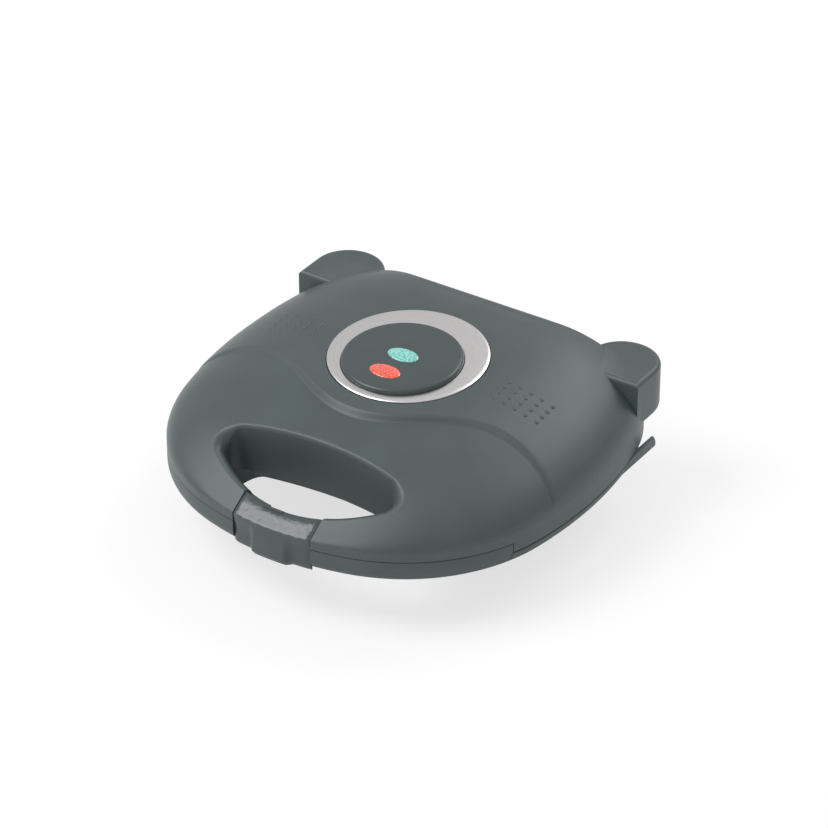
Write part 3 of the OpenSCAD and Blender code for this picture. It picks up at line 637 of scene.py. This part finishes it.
def grip_cutter():
    """The grip opening with its upper edge rounded over, most of all at the handle."""
    lens = grip(0)
    n = len(lens)
    outward = []
    for k in range(n):
        (x0, y0), (x1, y1) = lens[k - 1], lens[(k + 1) % n]
        size = math.hypot(x1 - x0, y1 - y0)
        outward.append(((y1 - y0) / size, (x0 - x1) / size))

    def ring(turn, lift):
        out = []
        for (x, y), (nx, ny) in zip(lens, outward):
            fore = 1 - ease(-0.3, 0.85, ny)
            wide, deep = 2.6 + 4.2 * fore, 2.6 + 5.6 * fore
            top = lid_height(x + nx * wide, y + ny * wide) + 0.04
            off = wide * (1 - math.cos(turn))
            out.append((x + nx * off, y + ny * off, top - deep * (1 - math.sin(turn)) + lift))
        return out
    rings = [[(x, y, 20) for x, y in lens]]
    rings += [ring(math.radians(a), 0) for a in range(0, 91, 9)] + [ring(math.radians(90), 15)]
    return stack(rings)


def quarter(across_by, up_by, a0, a1, n):
    """(inset, height) pairs of a quarter round."""
    turns = [math.radians(a0 + (a1 - a0) * i / n) for i in range(n + 1)]
    return [(across_by * (1 - math.cos(a)), up_by * math.sin(a)) for a in turns]


def ear():
    """One hinge ear: a round-ended lobe, dished a little, with its edges rounded."""
    foot_r, rim_r, lip = 6, 2.6, 4.2
    under = [(foot_r - foot_r * math.sin(math.radians(a)),
              EAR_FOOT_Z + foot_r - foot_r * math.cos(math.radians(a))) for a in range(0, 91, 10)]
    rim = [(inset, EAR_TOP_Z - rim_r + up) for inset, up in quarter(rim_r, rim_r, 0, 90, 9)]
    rings = []
    for inset, z in under + rim + [(lip, EAR_TOP_Z - 0.12), (6.5, EAR_TOP_Z - 0.5)]:
        r = EAR_R - inset
        fore = EAR_Y - EAR_RUN + min(inset, lip)
        half = [(EAR_X + r * math.cos(math.radians(a)), EAR_Y + r * math.sin(math.radians(a)), z)
                for a in range(0, 181, 5)]
        flank = [fore + (EAR_Y - fore) * k / 6 for k in range(6)]
        rings.append(half + [(EAR_X - r, y, z) for y in reversed(flank)]
                     + [(EAR_X + r, y, z) for y in flank])
    return stack(rings)


DOT_X, DOT_Y, DOT_STEP_X, DOT_STEP_Y = 56.4, 10.6, 6.48, 5.33
DOT_R, DOT_RISE = 1.94, 0.5


def dots():
    """Raised dots in five columns of four on each side of the lid."""
    made = []
    for x in [sx * (DOT_X + DOT_STEP_X * column) for sx in (-1, 1) for column in range(5)]:
        for y in [DOT_Y + DOT_STEP_Y * row for row in range(4)]:
            dot = bmesh.new()
            bmesh.ops.create_uvsphere(dot, u_segments=16, v_segments=10, radius=DOT_R)
            lift = lid_height(x, y) + DOT_RISE - DOT_R
            bmesh.ops.translate(dot, vec=(x, y, lift), verts=dot.verts)
            made.append(dot)
    return joined(*made)


def lid():
    body = lid_form(0, 600, 22, 16, 46)
    hollow = lid_form(WALL, 160, 8, 4, 18)
    round_ring = RING_D / 2 + 4
    hollow = cut(hollow, block(-FAR, FAR, -FAR, HANDLE_END_Y + 1, 0, HIGH),
                 at_ring(turned([(0, -4), (round_ring, -4), (round_ring, 20), (0, 20)], 48)))
    gap = block(-LATCH_W / 2 - LATCH_GAP, LATCH_W / 2 + LATCH_GAP, -FAR, GRIP_FRONT_Y + 5, 0, HIGH)
    core = lid_form(LATCH_WALL + 3 * LATCH_GAP, 240, 8, 4, 24)
    core = common(core, add(block(-60, 60, -FAR, LATCH_Y - 1, GRIP_FOOT_Z, HIGH),
                            block(-60, 60, -FAR, -60, GRIP_FOOT_Z, LATCH_Z + 1.5)))
    slot_w = ARM_T / 2 + LATCH_GAP
    x0, x1 = EAR_X - slot_w, EAR_X + slot_w
    slot = add(block(x0, x1, HINGE_Y - 15, HINGE_Y, LID_FOOT_Z - 1, HINGE_Z),
               block(x0, x1, HINGE_Y - 0.01, HINGE_Y + 21, LID_FOOT_Z - 1, HINGE_Z + 4.5),
               across(KNUCKLE_R + 1, x0, x1, HINGE_Y, HINGE_Z))
    body = cut(body, hollow, block(-FAR, FAR, HANDLE_END_Y, FAR, 0, LID_FOOT_Z),
               block(-FAR, FAR, -FAR, HANDLE_END_Y + 0.01, 0, GRIP_FOOT_Z), cut(gap, core),
               block(-9.5, 9.5, LATCH_Y - 2.9, LATCH_Y + 20, GRIP_FOOT_Z - 1, 70))
    body = add(body, mirrored(ear()))
    seat = RING_D / 2 + 0.3
    body = cut(body, mirrored(slot), grip_cutter(),
               at_ring(turned([(0, -1.65), (seat, -1.65), (seat, -0.5), (seat + 0.1, -0.2),
                               (seat + 0.5, 0.1), (seat + 0.5, 20), (0, 20)], 128)),
               at_ring(turned([(0, -20), (27, -20), (27, 20), (0, 20)], 48, (0, -PANEL_SHIFT))))
    body = add(body, dots())
    return finish_piece("lid_case", body, "lid", ["upper_housing"], "moulding", MOULDING)


# ---------------------------------------------------------------- trim ring, panel and lenses
def oval(w, d, z0, z1, shift):
    """Two level rings of an oval, forward of the trim ring's centre by shift."""
    turns = [2 * math.pi * i / 64 for i in range(64)]
    return [[(w / 2 * math.cos(a), -shift + d / 2 * math.sin(a), z) for a in turns]
            for z in (z0, z1)]


def trim_ring():
    r = RING_D / 2
    disc = turned([(0, -RING_SINK), (r - 0.3, -RING_SINK), (r, -1.3), (r, 0.0), (r - 0.12, 0.3),
                   (r - 0.5, 0.55), (r - 1.1, 0.72), (r - 2.2, 0.82), (20, 0.86), (0, 0.86)], 192)
    hole = PANEL_D / 2 + 0.2
    disc = cut(disc, turned([(0, -10), (hole, -10), (hole, 0.55), (hole + 0.35, 0.95),
                             (hole + 0.35, 20), (0, 20)], 160, (0, -PANEL_SHIFT)))
    return finish_piece("ring", at_ring(disc), "lid", ["trim_ring"], "brushed_trim", TRIM)


def lamp_panel():
    r = PANEL_D / 2
    top = [(r - inset, PANEL_RISE - 1.9 + up) for inset, up in quarter(1.9, 1.9, 0, 90, 8)]
    disc = turned([(0, PANEL_RISE - 2.2), (r - 2.4, PANEL_RISE - 2.2), (r - 2.4, -RING_SINK),
                   (r, -RING_SINK)] + top + [(r - 6, PANEL_RISE), (0, PANEL_RISE)],
                  160, (0, -PANEL_SHIFT))
    for shift in (GREEN_SHIFT, RED_SHIFT):
        disc = cut(disc, stack(oval(LENS_W, LENS_D, 0, PANEL_RISE - 0.25, shift)
                               + oval(LENS_W + 0.5, LENS_D + 0.5, PANEL_RISE + 0.05, 10, shift)))
    return finish_piece("panel", at_ring(disc), "lid", ["lamp_panel"], "panel_moulding", PANEL)


def lens(name, shift, node, material):
    rings = (oval(LENS_W + 2, LENS_D + 2, PANEL_RISE - 3.4, PANEL_RISE - 2.2, shift)
             + oval(LENS_W, LENS_D, PANEL_RISE - 2.19, PANEL_RISE, shift))
    for inset, up in quarter(1, 1, 10, 84, 8):
        w, d = LENS_W - LENS_W * 0.8 * inset, LENS_D - LENS_D * 0.8 * inset
        rings.append(oval(w, d, PANEL_RISE + 0.8 * up, 0, shift)[0])
    return finish_piece(name, at_ring(stack(rings)), "lid", [node], node, material)


# ---------------------------------------------------------------- latch
CLIP_FOOT_Z, CLIP_WALL_ROWS, CLIP_TOP_ROWS = RIM_Z - 0.6, 34, 26


def clip_reach(x):
    """Where the handle's front and the eased edge of the grip opening lie at x."""
    front = FRONT_C[1] - math.sqrt(FRONT_R ** 2 - x * x)
    middle = GRIP_FRONT_Y + GRIP_FRONT_R
    return front, middle - math.sqrt((GRIP_FRONT_R + HANDLE_EASE) ** 2 - x * x)


def clip_outside(x, k):
    """The clip's face at row k: up the front, past the thumb bulge, and over the handle."""
    front, rear = clip_reach(x)
    if k > CLIP_WALL_ROWS:
        t = (k - CLIP_WALL_ROWS) / CLIP_TOP_ROWS
        y = front + (rear - front) * t * t
        return (x, y, lid_height(x, y) - 1.1 * max(0.0, (t - 0.72) / 0.28) ** 2)
    z = CLIP_FOOT_Z + (SHOULDER_FOOT_Z - CLIP_FOOT_Z) * k / CLIP_WALL_ROWS
    curl = 1.6 * max(0.0, 1 - (z - CLIP_FOOT_Z) / 2.6) ** 2
    bulge = ease(TAB_W / 2 + 2.2, TAB_W / 2 - 1.6, abs(x))
    tall = ease(CLIP_FOOT_Z + 0.3, CLIP_FOOT_Z + 2.6, z) * (1 - ease(34.0, 45.5, z))
    flank = 1 - ease(CLIP_FOOT_Z + 9, 44.0, z)
    out = (TAB_RISE - 0.05) * bulge * tall - 0.9 * (1 - bulge) * flank
    return (x, front - out + curl * (1 - bulge), z)


def clip_inside(x, k):
    front, rear = clip_reach(x)
    if k <= CLIP_WALL_ROWS:
        z = CLIP_FOOT_Z + (SHOULDER_FOOT_Z - CLIP_FOOT_Z) * k / CLIP_WALL_ROWS
        return (x, front + LATCH_WALL, z)
    t = (k - CLIP_WALL_ROWS) / CLIP_TOP_ROWS
    y = front + LATCH_WALL + (rear - front - LATCH_WALL) * t * t
    return (x, y, lid_height(x, y, LATCH_WALL))


def latch():
    """The clip: a shell over the handle with a thumb bulge low down at its middle."""
    last, columns, edge_round = CLIP_WALL_ROWS + CLIP_TOP_ROWS, 70, 0.35

    def place(i, j):
        x = LATCH_W * (j / columns - 0.5)
        if i > last:
            return clip_inside(x, 2 * last + 1 - i)
        _, y, z = clip_outside(x, i)
        before, after = clip_outside(x, max(0, i - 1)), clip_outside(x, min(last, i + 1))
        dy, dz = after[1] - before[1], after[2] - before[2]
        drawn_in = edge_round * (1 - ease(0, 3, min(j, columns - j))) / math.hypot(dy, dz)
        return (x, y + drawn_in * dz, z - drawn_in * dy)
    bm = cap_ends(skin_over(2 * last + 2, columns, place))
    boss = add(across(LATCH_BOSS_R, -9, 2, LATCH_Y, LATCH_Z),
               block(-9, 2, LATCH_Y - LATCH_BOSS_R, LATCH_Y - 0.4, LATCH_Z, LATCH_Z + 4.4))
    bm = cut(add(bm, boss), across(LATCH_BORE_R, -30, 30, LATCH_Y, LATCH_Z))
    return finish_piece("clip", bm, "latch", ["latch_clip"], "latch_moulding", LATCH)


# ---------------------------------------------------------------- base
def base_band(top_z):
    """The part of the casing under the joint, with a rounded underside."""
    levels = [(7 * (1 - math.sin(math.radians(a))), RIM_Z + 7 * (1 - math.cos(math.radians(a))))
              for a in range(0, 90, 9)]
    levels += [(0, RIM_Z + 7), (0, top_z - 0.5), (0.15, top_z - 0.15), (0.5, top_z)]
    return stack([[(x, y, z) for x, y in even(both_halves(outline_half(inset)), 560)]
                  for inset, z in levels])


def belly(skin, lift):
    """The base's rounded pan, drawn in by skin and carried up by lift at its top."""
    rings, steps = [], 12
    for k in range(-1, steps + 1):
        t = max(0, k) / steps
        w, y0, y1, r = (a + (b - a) * t for a, b in zip(BELLY_TOP, BELLY_LOW))
        z = RIM_Z + (FLOOR_Z - RIM_Z) * (1 - (1 - t) ** 1.25) + skin * t
        w, y0, y1, r = w - skin, y0 + skin, y1 - skin, r - skin
        half = arc((w - r, y0 + r), r, -90, 0, 12) + arc((w - r, y1 - r), r, 0, 90, 12)
        ring = half + [(-x, y) for x, y in reversed(half)]
        if k < steps:
            rings.append([(x, y, z + (lift if k < 0 else 0)) for x, y in ring])
        else:
            rings.append([(x, y, z + 0.7) for x, y in ring])
            rings.append([(x * 0.985, FOOT_Y + (y - FOOT_Y) * 0.975, z) for x, y in ring])
    return stack(rings)


def plate_shape(grow, z0, z1):
    """The outline of a cooking plate as a solid."""
    r, w = 14, PLATE_W / 2 + grow
    half = (arc((w - r, PLATE_Y0 - grow + r), r, -90, 0, 10)
            + arc((w - r, PLATE_Y1 + grow - r), r, 0, 90, 10))
    return prism(half + [(-x, y) for x, y in reversed(half)], z0, z1)


def upright(x, y, r, z0, z1):
    """A round bar that stands."""
    return turned([(0, z0), (r, z0), (r, z1), (0, z1)], 32, (x, y))


def hinge_arm():
    """The web and knuckle that carry one ear of the lid."""
    knuckle = across(KNUCKLE_R, EAR_X - ARM_T / 2, EAR_X + ARM_T / 2, HINGE_Y, HINGE_Z, 48)
    side = [(BASE_REAR_Y - 8, RIM_Z - 1), (BASE_REAR_Y, RIM_Z - 1),
            (HINGE_Y + 0.8 * KNUCKLE_R, HINGE_Z - 0.6 * KNUCKLE_R),
            (HINGE_Y - 0.6 * KNUCKLE_R, HINGE_Z + 0.8 * KNUCKLE_R),
            (BASE_REAR_Y + 2.5, JOINT_Z), (BASE_REAR_Y - 8, JOINT_Z)]
    web = prism(side, EAR_X - ARM_T / 2, EAR_X + ARM_T / 2)
    for v in web.verts:
        v.co = (v.co.z, v.co.x, v.co.y)
    bmesh.ops.recalc_face_normals(web, faces=web.faces)
    return add(knuckle, soften(web, 0.8, 2, 40))


def base():
    body = common(base_band(JOINT_Z), block(-FAR, FAR, -FAR, BASE_REAR_Y, 0, HIGH))
    body = add(body, common(base_band(GRIP_JOINT_Z),
                            block(-FAR, FAR, -FAR, HANDLE_END_Y - 0.5, 0, HIGH)), belly(0, 2))
    body = add(body, bar_back(9, -2, 6))
    past_ear = EAR_X + EAR_R + LUG_GAP
    lug = prism([(LUG_X - 22, LUG_Y0), (LUG_X - 3, LUG_Y0), (LUG_X, LUG_Y0 + 3),
                 (LUG_X, LUG_Y1 - 3), (LUG_X - 3, LUG_Y1), (past_ear, LUG_Y1),
                 (past_ear, BASE_REAR_Y - 2), (LUG_X - 22, BASE_REAR_Y - 2)],
                JOINT_Z - LUG_T, JOINT_Z)
    body = add(body, mirrored(soften(lug, 0.7, 2, 40)), mirrored(hinge_arm()))
    slant = BASE_DRAW / (GRIP_JOINT_Z - RIM_Z)
    grips = stack([[(x, y, z) for x, y in grip(0, draw)]
                   for z, draw in ((RIM_Z - 1, BASE_DRAW + slant), (GRIP_JOINT_Z, 0.5),
                                   (GRIP_JOINT_Z + 5, 0.5))])
    w = LATCH_W / 2 + LATCH_GAP
    recess = block(-w, w, -FAR, GRIP_FRONT_Y + 5, 0, HIGH)
    keep = stack([[(x, y, z) for x, y in even(both_halves(outline_half(4.6)), 240)]
                  for z in (RIM_Z, GRIP_JOINT_Z - 2)])
    vents = [block(sx * 30 - 15, sx * 30 + 15, FOOT_Y + 8 * i - 1.5, FOOT_Y + 8 * i + 1.5, 0, 9)
             for sx in (-1, 1) for i in range(-2, 3)]
    body = cut(body, belly(WALL, 20), grips, plate_shape(0.4, PLATE_Z - 4.2, HIGH),
               cut(recess, keep), joined(*vents), bar_back(5, -20, 20),
               *[upright(x, y, 1.5, 23, 45) for x, y in SCREWS],
               *[upright(x, y, 3, 0, FLOOR_Z + 4) for x, y in FEET])
    return finish_piece("base_case", body, "base", ["lower_housing"], "moulding", MOULDING)


def bar_back(r, y0, y1):
    """A round bar along the depth at the cord's place."""
    bm = turned([(0, 0), (r, 0), (r, y1 - y0), (0, y1 - y0)], 40)
    for v in bm.verts:
        v.co = (GROMMET_X + v.co.x, BELLY_LOW[2] + y0 + v.co.z, GROMMET_Z - v.co.y)
    bmesh.ops.recalc_face_normals(bm, faces=bm.faces)
    return bm


def feet():
    profile = [(0, 0), (5.6, 0), (6.1, 0.35), (6.3, 0.6), (7.0, 0.2), (7.6, 0.45), (8, 1.2),
               (8, 4.4), (7.7, 4.9), (7.4, FLOOR_Z), (3, FLOOR_Z), (3, 8.6), (2.6, 9), (0, 9)]
    parts = [turned(profile, 48, spot) for spot in FEET]
    return finish_piece("feet", joined(*parts), "base", ["rubber_feet"], "rubber", RUBBER)


lid()
trim_ring()
lamp_panel()
lens("green", GREEN_SHIFT, "green_lens", GREEN)
lens("red", RED_SHIFT, "red_lens", RED)
latch()
base()
feet()


# ---------------------------------------------------------------- floor, light and camera
def floor():
    bm = bmesh.new()
    bmesh.ops.create_grid(bm, x_segments=1, y_segments=1, size=6)
    mesh = bpy.data.meshes.new("floor")
    bm.to_mesh(mesh)
    bm.free()
    obj = bpy.data.objects.new("floor", mesh)
    bpy.context.scene.collection.objects.link(obj)
    material = bpy.data.materials.new("floor_white")
    material.use_nodes = True
    tree = material.node_tree
    shader = tree.nodes["Principled BSDF"]
    shader.inputs["Base Color"].default_value = (0.93, 0.93, 0.93, 1)
    shader.inputs["Roughness"].default_value = 0.9
    shader.inputs["Specular IOR Level"].default_value = 0.0
    pattern_and_painted_glow = tree.nodes.new("ShaderNodeEmission")
    pattern_and_painted_glow.inputs["Color"].default_value = (1, 1, 1, 1)
    mix = tree.nodes.new("ShaderNodeMixShader")
    path = tree.nodes.new("ShaderNodeLightPath")
    seen = tree.nodes.new("ShaderNodeMath")
    seen.operation = "MULTIPLY"
    seen.inputs[1].default_value = 0.7
    tree.links.new(path.outputs["Is Camera Ray"], seen.inputs[0])
    tree.links.new(seen.outputs[0], mix.inputs[0])
    tree.links.new(shader.outputs[0], mix.inputs[1])
    tree.links.new(pattern_and_painted_glow.outputs[0], mix.inputs[2])
    tree.links.new(mix.outputs[0], tree.nodes["Material Output"].inputs["Surface"])
    mesh.materials.append(material)


def world_light():
    world = bpy.data.worlds.new("studio")
    bpy.context.scene.world = world
    world.use_nodes = True
    tree = world.node_tree
    back = tree.nodes["Background"]
    back.inputs["Color"].default_value = (1, 1, 1, 1)
    back.inputs["Strength"].default_value = 0.55
    seen = tree.nodes.new("ShaderNodeBackground")
    seen.inputs["Color"].default_value = (1, 1, 1, 1)
    path = tree.nodes.new("ShaderNodeLightPath")
    mix = tree.nodes.new("ShaderNodeMixShader")
    tree.links.new(path.outputs["Is Camera Ray"], mix.inputs[0])
    tree.links.new(back.outputs[0], mix.inputs[1])
    tree.links.new(seen.outputs[0], mix.inputs[2])
    tree.links.new(mix.outputs[0], tree.nodes["World Output"].inputs["Surface"])


def softbox(name, place, aim, width, height, power):
    light = bpy.data.lights.new(name, "AREA")
    light.shape, light.size, light.size_y, light.energy = "RECTANGLE", width, height, power
    lamp = bpy.data.objects.new(name, light)
    lamp.location = place
    lamp.rotation_euler = (Vector(aim) - Vector(place)).to_track_quat("-Z", "Y").to_euler()
    bpy.context.scene.collection.objects.link(lamp)


def camera():
    right = Vector((0.8348, 0.5505, 0)).normalized()
    back = Vector((0.4643, -0.7041, 0.5373)).normalized()
    up = back.cross(right).normalized()
    data = bpy.data.cameras.new("view")
    data.lens, data.sensor_width, data.clip_end = 174.0, 36.0, 50
    eye = bpy.data.objects.new("view", data)
    spot = (Vector((0, RING_Y, CROWN_Z)) + 2.846 * right - 30.06 * up + 2069.55 * back) * MM
    eye.matrix_world = Matrix.Translation(spot) @ Matrix((right, up, back)).transposed().to_4x4()
    bpy.context.scene.collection.objects.link(eye)
    bpy.context.scene.camera = eye


floor()
world_light()
softbox("key", (-0.9, -0.7, 1.5), (0, 0, 0.05), 1.1, 1.1, 22)
softbox("fill", (0.3, 1.3, 1.2), (0, 0, 0.05), 1.2, 0.8, 10)
camera()
bpy.context.scene.view_settings.view_transform = "Standard"
